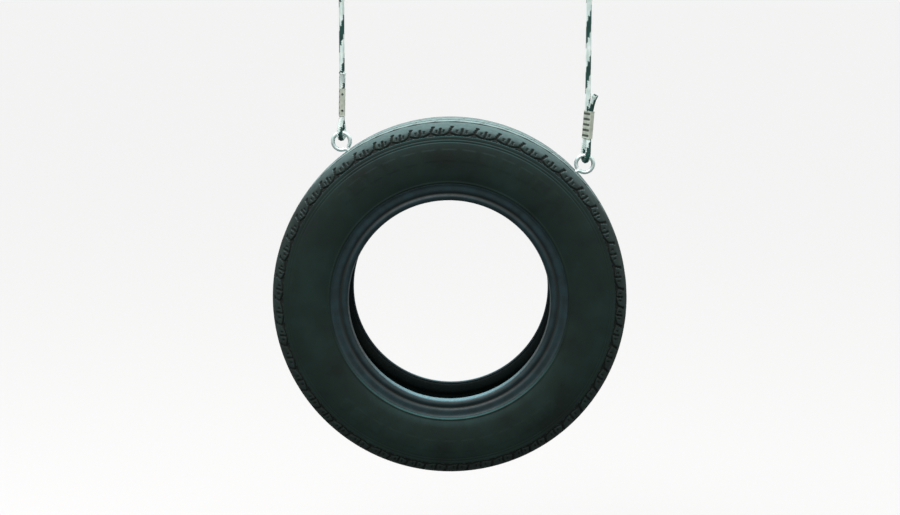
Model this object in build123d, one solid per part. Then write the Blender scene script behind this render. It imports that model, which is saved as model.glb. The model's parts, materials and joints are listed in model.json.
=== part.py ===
from build123d import *
import math
import os

# A tyre swing: a car tyre hung upright on two short ropes from eye screws in a beam.
#
# Frame: the origin is midway between the two beam screws, on the underside of the beam.
# +X runs along the beam to the right, +Y goes away from the front, +Z is up. Millimetres.
#
# How it goes together:
# - each beam screw is a bent eye with a washer, driven up into the beam;
# - each rope has a loop at both ends, closed by a folded aluminium clamp with two pins;
# - the lower loops hold two bent eyebolts, which pass through the tread and are held inside
#   the tyre by a large washer, a spring washer and a lock nut with a nylon ring;
# - the tyre is a radial: tread, belt pack and body ply, and on each side a sidewall, a rim
#   strip and a bead wire.

os.makedirs("parts", exist_ok=True)

# ---- driving dimensions --------------------------------------------------------------
TYRE_R = 311.0            # 195/70 R14, part worn
BEAD_R = 175.0            # the toe of the bead, free of its rim
GROOVE_DEPTH = 4.5        # circumferential tread grooves, worn
GROOVE_WIDTH = 7.0
GROOVE_AT = (16.0, 47.0)  # distance of the grooves from the middle of the tread

ROPE_R = 4.5              # a 10 mm braided rope, drawn thin by its load
TUBE_ROOM = 6.0           # from a clamp's mouth to the corner where a rope leg bends
CLAMP_LENGTH = 48.0
CLAMP_START = 30.0        # from the wire in a loop to the near end of its clamp
CLAMP_WALL = 0.8
CLAMP_ROOM = 0.1          # between a rope and the clamp's wall
CLAMP_SEAM = 0.5          # where the two edges of the folded sheet meet
LEG_AT = 4.6              # distance of each rope leg from the middle of a clamp
PIN_R = 1.2
PIN_HEAD_R = 2.0
PIN_HEAD = 0.7
PIN_FROM_MIDDLE = 14.3

EYE_WIRE_R = 3.5          # M8 bent eyebolt, rolled thread
EYE_RING_R = 15.0         # to the middle of the wire
EYE_BEND_R = 6.0
EYE_LENGTH = 53.0         # from the middle of the eye to the end of the thread
EYE_ABOVE_TREAD = 20.2    # middle of the eye above the tread
LEFT_EYE_DEG = -35.2      # from the top of the tyre, clockwise seen from the front
RIGHT_EYE_DEG = 45.6
CUT_END_DEG = 34.0        # from the ring's cut end to where its bend leaves the shank

BEAM_WIRE_R = 5.0         # 10 mm eye screw
BEAM_RING_R = 20.0
BEAM_BEND_R = 8.0
BEAM_THREAD = 66.0        # from the beam's underside to the start of the tip
BEAM_THREAD_R = 4.5
BEAM_TIP = 9.0
BEAM_EYE_DROP = 31.0      # middle of the beam eye below the beam
BEAM_WASHER = 2.5
BEAM_WASHER_R = 15.0

WASHER = 2.0              # large washer inside the tyre
WASHER_R = 20.0
SPRING_WASHER = 2.0
SPRING_WASHER_R = 6.4
NUT = 6.6
NUT_FLAT_R = 6.5          # half of 13 mm across the flats
NUT_COLLAR = 2.6
NUT_COLLAR_R = 5.9
NUT_RING_R = 4.9
BORE_ROOM = 0.05          # between a bolt and what it passes through

TOP_PIVOT_ABOVE_TYRE = 640.0   # from the middle of the tyre to the wire each rope hangs on
LEFT_CONTACT_DEG = 2.0    # where each rope sits on its eyebolt, from the top of the ring
RIGHT_CONTACT_DEG = 6.0
LEFT_LOOP_DEG = 20.0      # how far each loop is turned from straight fore and aft
RIGHT_LOOP_DEG = -20.0
LEFT_CLAMP_DEG = -7.0     # the same for each clamp, since the ropes are a little twisted
RIGHT_CLAMP_DEG = -36.0
LEFT_LEAN_DEG = 1.2       # how far each lower clamp leans to the right
RIGHT_LEAN_DEG = 4.2

# A rope's route beside each wire, as (front to back, distance from the wire). The tail is
# at the front. The first list goes from the tail of the lower loop to the standing rope,
# the second from the standing rope to the tail of the upper loop.
LOWER_ROUTE = [(-15.5, 107.0), (-9.0, 96.5), (-4.6, 84.0), (-4.6, 24.0), (-11.6, -0.6),
               (-5.3, -9.6), (5.3, -9.6), (11.6, -0.6), (4.6, 24.0), (4.6, 84.0)]
UPPER_ROUTE = [(4.6, 24.0), (13.8, -1.6), (6.5, -12.2), (-6.5, -12.2), (-13.8, -1.6),
               (-4.6, 24.0), (-4.6, 84.0), (-8.4, 96.5), (-14.0, 107.0)]

# ---- places worked out from them -----------------------------------------------------
EYE_AT_R = TYRE_R + EYE_ABOVE_TREAD
TOP_PIVOT_Z = -BEAM_EYE_DROP - BEAM_RING_R
TYRE_Z = TOP_PIVOT_Z - TOP_PIVOT_ABOVE_TYRE


def polar(radius, degrees):
    """x and z at a radius, turned from straight up towards +X."""
    turn = math.radians(degrees)
    return radius * math.sin(turn), radius * math.cos(turn)


def contact(eye_deg, contact_deg):
    """x and z where a rope sits in its eyebolt, from the middle of the tyre."""
    eye, on_ring = polar(EYE_AT_R, eye_deg), polar(EYE_RING_R, contact_deg)
    return eye[0] + on_ring[0], eye[1] + on_ring[1]


def beam_eye_x(contact_x, lean_deg):
    """x of the beam eye that makes the standing rope hang upright above a leaning clamp."""
    return contact_x + LOWER_ROUTE[-1][1] * math.sin(math.radians(lean_deg))


SIDES = {
    "left": dict(eye=LEFT_EYE_DEG, contact=LEFT_CONTACT_DEG, loop=LEFT_LOOP_DEG,
                 clamp=LEFT_CLAMP_DEG, lean=LEFT_LEAN_DEG, pin_side=-1, hand=180),
    "right": dict(eye=RIGHT_EYE_DEG, contact=RIGHT_CONTACT_DEG, loop=RIGHT_LOOP_DEG,
                  clamp=RIGHT_CLAMP_DEG, lean=RIGHT_LEAN_DEG, pin_side=1, hand=0),
}
top_x = [beam_eye_x(contact(s["eye"], s["contact"])[0], s["lean"]) for s in SIDES.values()]
TYRE_X = -sum(top_x) / 2
for side in SIDES.values():
    contact_x, contact_z = contact(side["eye"], side["contact"])
    side["low"] = Vector(TYRE_X + contact_x, 0, TYRE_Z + contact_z)
    side["top"] = Vector(TYRE_X + beam_eye_x(contact_x, side["lean"]), 0, TOP_PIVOT_Z)
    eye_x, eye_z = polar(EYE_AT_R, side["eye"])
    side["eye_at"] = Vector(TYRE_X + eye_x, 0, TYRE_Z + eye_z)


def save(shape, name):
    """One node: its solids in one STEP file."""
    shape.label = name
    export_step(shape, f"parts/{name}.step")


# ---- the tyre ------------------------------------------------------------------------
# Half sections are drawn as (distance from the middle, radius) and turned about the axle.
def section_point(across, radius):
    """A point of the section, in the plane that holds the axle and the top of the tyre."""
    return Vector(0, across, radius)


def line(a, b):
    """A straight edge of a section."""
    return Line(section_point(*a), section_point(*b))


def smooth(*points):
    """A smooth edge of a section through its points."""
    return Spline(*[section_point(*p) for p in points])


def outline(*edges):
    """A closed half section from edges that meet end to end."""
    return make_face(Wire(edges))


def ring(half_section, mirrored=False):
    """A half section turned about the axle, and joined to its mirror image if asked."""
    turned = revolve(half_section, Axis.Y, 360)
    if mirrored:
        turned = turned + mirror(turned, Plane.XZ)
    return turned


LINER_R = TYRE_R - 14.0
PLY_R = TYRE_R - 11.5
BELT_R = TYRE_R - 8.0
crown_edge = (60.0, TYRE_R - 1.7)
shoulder = (89.0, TYRE_R - 23.0)
belt_end_low = (68.0, TYRE_R - 16.8)
belt_end_high = (68.0, TYRE_R - 13.4)
rim_line = (88.0, BEAD_R + 31.0)
toe = (70.0, BEAD_R)
toe_inside = (67.5, BEAD_R + 4.0)
ply_foot = (71.2, BEAD_R + 4.0)
ply_bend = (71.2, BEAD_R + 16.0)
wire_low_in = (71.2, BEAD_R + 5.0)
wire_high_in = (71.2, BEAD_R + 13.0)
wire_low_out = (79.2, BEAD_R + 5.0)
wire_high_out = (79.2, BEAD_R + 13.0)
liner_foot = (67.5, BEAD_R + 15.0)
ply_waist = (81.5, TYRE_R - 106)
bead_outline = [ply_waist, rim_line, (85.8, BEAD_R + 27.0), (85.0, BEAD_R + 19.0),
                (82.6, BEAD_R + 14.0), (84.8, BEAD_R + 8.0), (82.0, BEAD_R + 2.4), toe,
                toe_inside, ply_foot, wire_low_in, wire_low_out, wire_high_out, wire_high_in,
                ply_bend]

ply_crown = smooth((0, PLY_R), (40, PLY_R - 1.4), belt_end_low)
ply_side = smooth(belt_end_low, (84.5, TYRE_R - 37), (91.5, TYRE_R - 62),
                  (89.5, TYRE_R - 84), ply_waist)
ply_low = smooth(ply_waist, (75.0, BEAD_R + 22.0), ply_bend)
liner = smooth((0, LINER_R), (50, LINER_R - 1.4), (71, LINER_R - 10), (82.5, LINER_R - 26),
               (88.3, LINER_R - 48), (86.3, LINER_R - 70), (77.5, LINER_R - 93), liner_foot)
belt_top = smooth((0, BELT_R), (40, BELT_R - 1.8), belt_end_high)
crown = smooth((0, TYRE_R), (30, TYRE_R - 0.4), crown_edge)
shoulder_curve = smooth(crown_edge, (75.5, TYRE_R - 7.0), (83.5, TYRE_R - 13.2), shoulder)
sidewall_curve = smooth(shoulder, (93.8, TYRE_R - 45), (95, TYRE_R - 65), (93, TYRE_R - 87),
                        rim_line)

tread_half = outline(belt_top, line(belt_end_high, belt_end_low), line(belt_end_low, shoulder),
                     shoulder_curve, crown, line((0, TYRE_R), (0, BELT_R)))
belt_half = outline(ply_crown, line(belt_end_low, belt_end_high), belt_top,
                    line((0, BELT_R), (0, PLY_R)))
ply_half = outline(liner, line(liner_foot, toe_inside), line(toe_inside, ply_foot),
                   line(ply_foot, wire_low_in), line(wire_low_in, wire_high_in),
                   line(wire_high_in, ply_bend), ply_low, ply_side, ply_crown,
                   line((0, PLY_R), (0, LINER_R)))
sidewall_half = outline(line(belt_end_low, shoulder), sidewall_curve,
                        line(rim_line, ply_waist), ply_side)
strip_half = outline(ply_low, *[line(a, b) for a, b in zip(bead_outline, bead_outline[1:])])
wire_half = outline(line(wire_low_in, wire_low_out), line(wire_low_out, wire_high_out),
                    line(wire_high_out, wire_high_in), line(wire_high_in, wire_low_in))


def groove_ring(across):
    """The ring of rubber that one circumferential groove takes away."""
    height = 2 * GROOVE_DEPTH
    profile = Plane.YZ * Pos(across, TYRE_R) * Rectangle(GROOVE_WIDTH, height)
    return revolve(profile, Axis.Y, 360)


def in_tyre(shape, degrees):
    """A shape that points up from the axle, turned to its place on the tyre."""
    return Pos(TYRE_X, 0, TYRE_Z) * Rot(0, degrees, 0) * shape


bolt_bore = Pos(0, 0, TYRE_R) * Cylinder(EYE_WIRE_R + BORE_ROOM, 60)
bolt_bores = [in_tyre(bolt_bore, side["eye"]) for side in SIDES.values()]
grooves = [groove_ring(hand * across) for hand in (-1, 1) for across in GROOVE_AT]
save(in_tyre(ring(tread_half, True) - grooves, 0) - bolt_bores, "tread")
save(in_tyre(ring(belt_half, True), 0) - bolt_bores, "steel_belts")
save(in_tyre(ring(ply_half, True), 0) - bolt_bores, "body_ply")
for name, half in (("sidewall", sidewall_half), ("rim_strip", strip_half),
                   ("bead_wire", wire_half)):
    save(in_tyre(ring(half), 0), f"rear_{name}")
    save(in_tyre(mirror(ring(half), Plane.XZ), 0), f"front_{name}")


# ---- eyes: a wire bent into a ring, with a straight shank -------------------------------
def bent_eye(wire_r, ring_r, bend_r, end_below):
    """The eye's middle is the origin, its ring lies in XZ and its shank points down.

    The shank ends a given distance below the eye's middle. It turns to the right in a small
    bend, and the ring runs on round until its cut end comes back beside the shank.
    """
    drop = math.sqrt(ring_r**2 + 2 * ring_r * bend_r)
    join_deg = math.degrees(math.atan2(-drop, bend_r))
    end_deg = 360 + join_deg - CUT_END_DEG
    neck, foot = Vector(0, 0, -drop), Vector(0, 0, -end_below)

    def around(middle, radius, degrees):
        turn = math.radians(degrees)
        return middle + Vector(radius * math.cos(turn), 0, radius * math.sin(turn))

    join = around(Vector(0, 0, 0), ring_r, join_deg)
    mid_bend = around(Vector(bend_r, 0, -drop), bend_r, (360 + join_deg) / 2)
    path = Wire([
        Line(foot, neck),
        ThreePointArc(neck, mid_bend, join),
        ThreePointArc(join, around(Vector(0, 0, 0), ring_r, (join_deg + end_deg) / 2),
                      around(Vector(0, 0, 0), ring_r, end_deg)),
    ])
    return sweep(Plane(origin=foot, z_dir=(0, 0, 1)) * Circle(wire_r), path)


def disc(radius, hole_r, height):
    """A round washer or collar that stands on the origin."""
    whole = Cylinder(radius, height) - Cylinder(hole_r, height)
    return Pos(0, 0, height / 2) * whole


bore_r = EYE_WIRE_R + BORE_ROOM
washer_z = LINER_R - 1.0 - WASHER
spring_z = washer_z - SPRING_WASHER
nut_z = spring_z - NUT
collar_z = nut_z - NUT_COLLAR
washer = Pos(0, 0, washer_z) * disc(WASHER_R, bore_r, WASHER)
spring_gap = Pos(SPRING_WASHER_R, 0, SPRING_WASHER / 2) * Rot(40, 0, 0) * Box(8, 0.8, 8)
spring_washer = Pos(0, 0, spring_z) * (disc(SPRING_WASHER_R, bore_r, SPRING_WASHER) - spring_gap)
hexagon = extrude(RegularPolygon(NUT_FLAT_R, 6, major_radius=False), NUT)
nut = Pos(0, 0, nut_z) * (hexagon - Cylinder(bore_r, 3 * NUT))
nut += Pos(0, 0, collar_z) * disc(NUT_COLLAR_R, NUT_RING_R, NUT_COLLAR)
nut_ring = Pos(0, 0, collar_z) * disc(NUT_RING_R, bore_r, NUT_COLLAR)
for name, piece in (("bolt_washers", washer), ("bolt_spring_washers", spring_washer),
                    ("bolt_lock_nuts", nut), ("lock_nut_rings", nut_ring)):
    both = [in_tyre(piece, side["eye"]) for side in SIDES.values()]
    save(Compound(children=[s for shape in both for s in shape.solids()]), name)

eyebolt = bent_eye(EYE_WIRE_R, EYE_RING_R, EYE_BEND_R, EYE_LENGTH)
beam_screw = Rot(0, 180, 0) * bent_eye(BEAM_WIRE_R, BEAM_RING_R, BEAM_BEND_R, BEAM_EYE_DROP)
beam_screw += Pos(0, 0, BEAM_EYE_DROP + BEAM_THREAD / 2) * Cylinder(BEAM_THREAD_R, BEAM_THREAD)
tip_at = BEAM_EYE_DROP + BEAM_THREAD + BEAM_TIP / 2
beam_screw += Pos(0, 0, tip_at) * Cone(BEAM_THREAD_R, 0.4, BEAM_TIP)

for name, side in SIDES.items():
    bolt_place = Location(side["eye_at"]) * Rot(0, side["eye"], 0) * Rot(0, 0, side["hand"])
    save(bolt_place * eyebolt, f"{name}_eyebolt")
    eye_middle = side["top"] + Vector(0, 0, BEAM_RING_R)
    save(Location(eye_middle) * Rot(0, 0, side["hand"]) * beam_screw, f"{name}_beam_screw")
beam_washer = disc(BEAM_WASHER_R, BEAM_WIRE_R + BORE_ROOM, BEAM_WASHER)
washer_places = [Pos(side["top"].X, 0, -BEAM_WASHER) for side in SIDES.values()]
save(Compound(children=[place * beam_washer for place in washer_places]), "beam_washers")


# ---- hangers: rope, clamps and pins ------------------------------------------------------
def hanger_place(side, upper, piece):
    """The frame of a loop or its clamp: X front to back, Z along the hanger from the wire."""
    turned = Rot(0, 0, 90 - side[piece])
    if upper:
        return Location(side["top"]) * turned * Rot(180, 0, 0)
    return Location(side["low"]) * Rot(0, side["lean"], 0) * turned


def route_points(side):
    """The corners of a rope's route, from the lower loop's tail to the upper loop's tail."""
    corners = []
    for route, upper in ((LOWER_ROUTE, False), (UPPER_ROUTE, True)):
        for u, w in route:
            piece = "loop" if w < CLAMP_START - TUBE_ROOM else "clamp"
            corners.append((hanger_place(side, upper, piece) * Pos(u, 0, w)).position)
    return corners


def corner_radii(points):
    """The largest arc that each corner's runs allow, kept out of the clamps' mouths."""
    radii = []
    for before, corner, after in zip(points, points[1:], points[2:]):
        run_in, run_out = corner - before, after - corner
        turn = run_in.get_angle(run_out)
        room = 0.45 * min(run_in.length, run_out.length)
        if max(run_in.length, run_out.length) >= CLAMP_LENGTH:
            room = min(room, TUBE_ROOM - 0.2)
        radii.append(room / math.tan(math.radians(turn / 2)))
    return radii


def pin(hand):
    """A pin driven through a clamp's narrow face, both rope legs, and not the far wall."""
    outside = LEG_AT + ROPE_R + CLAMP_ROOM + CLAMP_WALL
    shank = Cylinder(PIN_R, 2 * (outside - CLAMP_WALL) - 1)
    body = Pos(0, 0, (CLAMP_WALL + 1) / 2) * shank
    body += Pos(0, 0, outside + PIN_HEAD / 2) * Cylinder(PIN_HEAD_R, PIN_HEAD)
    return Rot(0, 90 * hand, 0) * body


cavity = Vector(2 * (LEG_AT + ROPE_R + CLAMP_ROOM), 2 * (ROPE_R + CLAMP_ROOM), 0)
sheet = RectangleRounded(cavity.X + 2 * CLAMP_WALL, cavity.Y + 2 * CLAMP_WALL, 2.0)
sheet -= RectangleRounded(cavity.X, cavity.Y, 2.0 - CLAMP_WALL)
sheet -= Pos(0, cavity.Y / 2) * Rectangle(CLAMP_SEAM, 4 * CLAMP_WALL)
clamp_middle = CLAMP_START + CLAMP_LENGTH / 2

for name, side in SIDES.items():
    points = route_points(side)
    radii = corner_radii(points)
    path = FilletPolyline(*points, radius=radii)
    first_run = (points[1] - points[0]).normalized()
    rope = sweep(Plane(origin=points[0], z_dir=first_run) * Circle(ROPE_R), path)
    expected = math.pi * ROPE_R**2 * path.length
    print(name, "rope length", round(path.length, 1), "volume ratio", rope.volume / expected)
    print(name, "radii", [round(r, 1) for r in radii])
    print(name, "wire in the lower loop", side["low"], "wire in the upper loop", side["top"])

    pins = []
    for level in ("lower", "upper"):
        place = hanger_place(side, level == "upper", "clamp")
        clamp = place * Pos(0, 0, CLAMP_START) * extrude(sheet, CLAMP_LENGTH)
        here = [place * Pos(0, 0, clamp_middle + step * PIN_FROM_MIDDLE) * pin(side["pin_side"])
                for step in (-1, 1)]
        save(clamp - here, f"{name}_{level}_clamp")
        pins += here
    save(rope - pins, f"{name}_rope")
    save(Compound(children=pins), f"{name}_clamp_pins")
print("tyre middle", TYRE_X, TYRE_Z, "beam screws apart", SIDES["right"]["top"].X * 2)
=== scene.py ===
"""A tyre swing, finished around its frame: an old radial tyre hung upright on two braided ropes.

The sections follow the way it is put together: the view, the ropes, their clamps, the steel
that holds them, the tyre, and the studio that it hangs in. Metres throughout, with +X to the
right, +Y away from the front and +Z up.
"""
import json
from math import atan2, cos, pi, radians, sin, sqrt

import bpy
import numpy as np
from mathutils import Matrix, Vector


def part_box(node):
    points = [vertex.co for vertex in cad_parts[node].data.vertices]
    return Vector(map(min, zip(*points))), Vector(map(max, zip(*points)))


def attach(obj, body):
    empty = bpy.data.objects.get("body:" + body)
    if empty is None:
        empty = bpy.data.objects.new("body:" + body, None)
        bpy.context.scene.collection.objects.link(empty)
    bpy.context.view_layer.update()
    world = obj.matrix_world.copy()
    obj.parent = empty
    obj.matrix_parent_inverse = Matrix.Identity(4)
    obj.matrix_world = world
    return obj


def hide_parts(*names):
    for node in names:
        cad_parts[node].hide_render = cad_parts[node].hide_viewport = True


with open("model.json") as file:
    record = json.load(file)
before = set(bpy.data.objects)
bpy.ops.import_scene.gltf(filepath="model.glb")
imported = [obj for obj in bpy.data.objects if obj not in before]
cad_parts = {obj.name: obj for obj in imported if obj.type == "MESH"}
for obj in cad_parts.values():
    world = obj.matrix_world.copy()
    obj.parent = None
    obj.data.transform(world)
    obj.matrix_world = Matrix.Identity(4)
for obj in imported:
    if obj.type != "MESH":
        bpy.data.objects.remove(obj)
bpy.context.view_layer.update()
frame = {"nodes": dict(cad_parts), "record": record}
MM = 0.001

# ==== The view =========================================================================
# The swing is looked at nearly square on, from a little above the middle of the tyre, so the
# inside of its lower half shows through the hole. The line of sight passes over the tyre's
# middle, so that the ropes are in view too.
VIEW_DISTANCE = 3.70
VIEW_UP_DEG = 9.7
VIEW_RIGHT_DEG = 1.0
AIM_ABOVE_TYRE_DEG = 0.985
LENS_MM = 83.3

tread_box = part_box("tread")
tyre_middle = (tread_box[0] + tread_box[1]) / 2

camera = bpy.data.objects.new("camera", bpy.data.cameras.new("camera"))
bpy.context.scene.collection.objects.link(camera)
bpy.context.scene.camera = camera
camera.data.lens = LENS_MM
camera.rotation_euler = (radians(90 - VIEW_UP_DEG + AIM_ABOVE_TYRE_DEG), 0,
                         radians(VIEW_RIGHT_DEG))
sight = Vector((sin(radians(VIEW_RIGHT_DEG)) * cos(radians(VIEW_UP_DEG)),
                -cos(radians(VIEW_RIGHT_DEG)) * cos(radians(VIEW_UP_DEG)),
                sin(radians(VIEW_UP_DEG))))
camera.location = tyre_middle + VIEW_DISTANCE * sight

# ==== The ropes ========================================================================
# Two lengths of 10 mm polyester braid, sixteen strands over a core. Each is turned back round
# the steel at both ends and its tail lies beside it in a clamp. A dark green tracer winds
# round the white braid, and the cut ends have begun to fray.
ROPE_R = 5.0 * MM
PRESSED_R = 4.6 * MM
PRESSED_EDGE = 4 * MM
CLAMP_SPAN = (30 * MM, 78 * MM)
LOOP_REACH = 24 * MM
STRANDS_EACH_WAY = 8
STRAND_COLUMNS = 6
BRAID_LAY = 30 * MM
STRAND_HALF_WIDTH = 1.42 * MM
STRAND_HALF_THICK = 0.78 * MM
WEAVE_RISE = 0.55 * MM
CORE_GAP = 0.3 * MM
CORE_SET_BACK = 3
CORE_COLUMNS = 12
TRACER_LAY = 78 * MM
TRACER_HALF_DEG = 84
FRAY = 9 * MM
FRAY_SPREAD = (0.0, 0.35)
FRAY_WANDER = 0.6 * MM
SAMPLE = 1.5 * MM
RING_R = 15.0 * MM
WIRE_R = 3.5 * MM
EYE_OUTER_R = RING_R + WIRE_R

# The route beside each wire, as (front to back, distance from the wire) in millimetres, from
# the lower loop's tail to the standing rope and on to the upper loop's tail.
LOWER_ROUTE = [(-12.5, 107.0), (-8.0, 96.5), (-4.6, 84.0), (-4.6, 71.0), (-4.6, 49.0),
               (-4.6, 24.0), (-11.6, -0.6), (-5.3, -9.6), (5.3, -9.6), (11.6, -0.6),
               (4.6, 24.0), (4.6, 49.0), (4.6, 84.0)]
UPPER_ROUTE = [(4.6, 140.0), (4.6, 49.0), (4.6, 24.0), (13.8, -1.6), (6.5, -12.2),
               (-6.5, -12.2), (-13.8, -1.6), (-4.6, 24.0), (-4.6, 49.0), (-4.6, 71.0),
               (-4.6, 84.0), (-8.4, 96.5), (-14.0, 107.0)]
joint_at = {j["name"]: Vector(j["pos_m"]) for j in frame["record"]["behaviour"]["joints"]}
SIDES = {
    "left": dict(sign=-1, eye_deg=-35.2, contact_deg=2.0, loop_deg=20.0, clamp_deg=-7.0,
                 lean_deg=1.2, tracer_deg=245, hand_deg=180),
    "right": dict(sign=1, eye_deg=45.6, contact_deg=6.0, loop_deg=-20.0, clamp_deg=-36.0,
                  lean_deg=4.2, tracer_deg=-10, hand_deg=0),
}


def turn(degrees, axis):
    """A rotation about a named axis."""
    return Matrix.Rotation(radians(degrees), 4, axis)


for side_name, side in SIDES.items():
    eye_low, eye_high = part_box(f"{side_name}_eyebolt")
    eye_x = eye_high.x - EYE_OUTER_R if side["sign"] > 0 else eye_low.x + EYE_OUTER_R
    side["eye_at"] = Vector((eye_x, 0, eye_high.z - EYE_OUTER_R))
    on_ring = turn(side["contact_deg"], "Y") @ Vector((0, 0, RING_R))
    lower = Matrix.Translation(side["eye_at"] + on_ring) @ turn(side["lean_deg"], "Y")
    upper = Matrix.Translation(joint_at[f"{side_name}_rope_swing"])
    for piece in ("loop", "clamp"):
        fore_and_aft = turn(90 - side[f"{piece}_deg"], "Z")
        side[f"lower_{piece}"] = lower @ fore_and_aft
        side[f"upper_{piece}"] = upper @ fore_and_aft @ turn(180, "X")


def route_points(side):
    """The route's points in the swing's frame.

    Those beside a wire turn with their loop, and the rest turn with their clamp, because each
    rope is a little twisted.
    """
    points = []
    for end, route in (("lower", LOWER_ROUTE), ("upper", UPPER_ROUTE)):
        for u, w in route:
            piece = "loop" if w * MM < LOOP_REACH else "clamp"
            points.append(side[f"{end}_{piece}"] @ (Vector((u, 0, w)) * MM))
    return np.array(points)


def spline_line(points):
    """The smooth line of a quadratic NURBS spline that has the points as its controls."""
    curve = bpy.data.curves.new("route", "CURVE")
    curve.dimensions = "3D"
    spline = curve.splines.new("NURBS")
    spline.points.add(len(points) - 1)
    spline.points.foreach_set("co", np.c_[points, np.ones(len(points))].ravel())
    spline.order_u = 3
    spline.use_endpoint_u = True
    spline.resolution_u = 24
    carrier = bpy.data.objects.new("route", curve)
    mesh = bpy.data.meshes.new_from_object(carrier)
    line = np.empty(len(mesh.vertices) * 3)
    mesh.vertices.foreach_get("co", line)
    bpy.data.objects.remove(carrier)
    bpy.data.curves.remove(curve)
    bpy.data.meshes.remove(mesh)
    return line.reshape(-1, 3)


def evenly(line, step):
    """A line resampled at about equal steps along itself, and the distances along it."""
    along = np.r_[0, np.cumsum(np.linalg.norm(np.diff(line, axis=0), axis=1))]
    wanted = np.linspace(0, along[-1], int(round(along[-1] / step)) + 1)
    return np.stack([np.interp(wanted, along, axis) for axis in line.T], 1), wanted


def unit(vectors):
    """Vectors scaled to length one, along the last axis."""
    return vectors / np.linalg.norm(vectors, axis=-1, keepdims=True)


def surface(name, points, wrap_rows=False, wrap_columns=True, cap_rows=False):
    """A piece from a grid of points, rows by columns by xyz.

    Each cell is a quad. Rows or columns may close on themselves, and the first and last row
    may each be closed by one face. The faces are turned so that the volume inside is positive.
    """
    rows, columns = points.shape[:2]
    index = np.arange(rows * columns).reshape(rows, columns)
    if wrap_rows:
        index = np.vstack([index, index[:1]])
    if wrap_columns:
        index = np.hstack([index, index[:, :1]])
    quads = np.stack([index[:-1, :-1], index[:-1, 1:], index[1:, 1:], index[1:, :-1]], -1)
    quads = quads.reshape(-1, 4)
    flat = points.reshape(-1, 3) - points.reshape(-1, 3).mean(0)
    a, b, c, d = (flat[quads[:, k]] for k in range(4))
    volume = (a * (np.cross(b, c) + np.cross(c, d))).sum()
    faces = quads[:, ::-1] if volume < 0 else quads
    faces = faces.tolist()
    if cap_rows:
        first, last = list(range(columns)), list(range((rows - 1) * columns, rows * columns))
        faces += [first, last[::-1]] if volume < 0 else [first[::-1], last]
    mesh = bpy.data.meshes.new(name)
    mesh.from_pydata(points.reshape(-1, 3), [], faces)
    mesh.polygons.foreach_set("use_smooth", np.ones(len(faces), bool))
    piece = bpy.data.objects.new(name, mesh)
    bpy.context.scene.collection.objects.link(piece)
    return piece


def join(name, parts):
    """One piece made of several, which have the same materials."""
    with bpy.context.temp_override(active_object=parts[0], selected_editable_objects=parts):
        bpy.ops.object.join()
    parts[0].name = parts[0].data.name = name
    return parts[0]


def braid(name, line, along, normal, radius, tracer_deg):
    """Sixteen flat strands wound round a line, half of them each way.

    A strand's angle grows with the distance along the line, and its radius rises and falls as
    a cosine with a period of four crossings, so it goes over two strands and under two. A
    stretch between two under-crossings takes the tracer's colour as a whole, if the middle of
    the stretch is inside the tracer's winding band.
    """
    ahead = unit(np.gradient(line, axis=0))
    out = unit(normal - ahead * (ahead @ normal)[:, None])
    aside = np.cross(ahead, out)
    crossings = 2 * STRANDS_EACH_WAY * along / BRAID_LAY
    loose = np.clip(1 - np.minimum(along, along[-1] - along) / FRAY, 0, 1) ** 2
    random = np.random.default_rng(7)
    parts = []
    for k in range(2 * STRANDS_EACH_WAY):
        hand = 1 if k < STRANDS_EACH_WAY else -1
        number = k % STRANDS_EACH_WAY
        angle = hand * 2 * pi * along / BRAID_LAY + 2 * pi * number / STRANDS_EACH_WAY
        count = hand * crossings + 2 * number - 0.5 + (hand - 1)
        rise = WEAVE_RISE * np.cos(count * pi / 2)
        spread = loose * random.uniform(*FRAY_SPREAD) * ROPE_R
        reach = radius - STRAND_HALF_THICK - WEAVE_RISE + rise + spread
        round_line = np.cos(angle)[:, None] * out + np.sin(angle)[:, None] * aside
        middle = line + round_line * reach[:, None]
        middle = middle + loose[:, None] * random.normal(0, FRAY_WANDER, 3)
        flat = unit(np.cross(unit(np.gradient(middle, axis=0)), round_line))
        around = np.linspace(0, 2 * pi, STRAND_COLUMNS, endpoint=False)
        points = (middle[:, None]
                  + STRAND_HALF_THICK * np.cos(around)[None, :, None] * round_line[:, None]
                  + STRAND_HALF_WIDTH * np.sin(around)[None, :, None] * flat[:, None])
        strand = surface(f"{name}_strand", points, cap_rows=True)
        from_under = 4 * np.round(count / 4) - count
        stretch = along + hand * from_under * BRAID_LAY / (2 * STRANDS_EACH_WAY)
        stretch_angle = hand * 2 * pi * stretch / BRAID_LAY + 2 * pi * number / STRANDS_EACH_WAY
        from_band = stretch_angle - 2 * pi * stretch / TRACER_LAY - radians(tracer_deg)
        inside = np.cos(from_band) > cos(radians(TRACER_HALF_DEG))
        tracer = strand.data.attributes.new("tracer", "FLOAT", "POINT")
        tracer.data.foreach_set("value", np.repeat(inside.astype(np.float32), len(around)))
        parts.append(strand)
    around = np.linspace(0, 2 * pi, CORE_COLUMNS, endpoint=False)
    core_r = radius - 2 * STRAND_HALF_THICK - CORE_GAP
    points = line[:, None] + core_r[:, None, None] * (
        np.cos(around)[None, :, None] * out[:, None] + np.sin(around)[None, :, None] * aside[:, None])
    points = points[CORE_SET_BACK:-CORE_SET_BACK]
    parts.append(surface(f"{name}_core", points, cap_rows=True))
    return join(name, parts)


def linear(hex_colour):
    """A colour for a shader, from its sRGB hex value."""
    channels = np.array([int(hex_colour[k:k + 2], 16) / 255 for k in (1, 3, 5)])
    channels = np.where(channels < 0.04045, channels / 12.92, ((channels + 0.055) / 1.055) ** 2.4)
    return (*channels, 1)


def per_mm(size):
    """A texture's scale that gives features of a size in millimetres."""
    return 1 / (size * MM)


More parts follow.
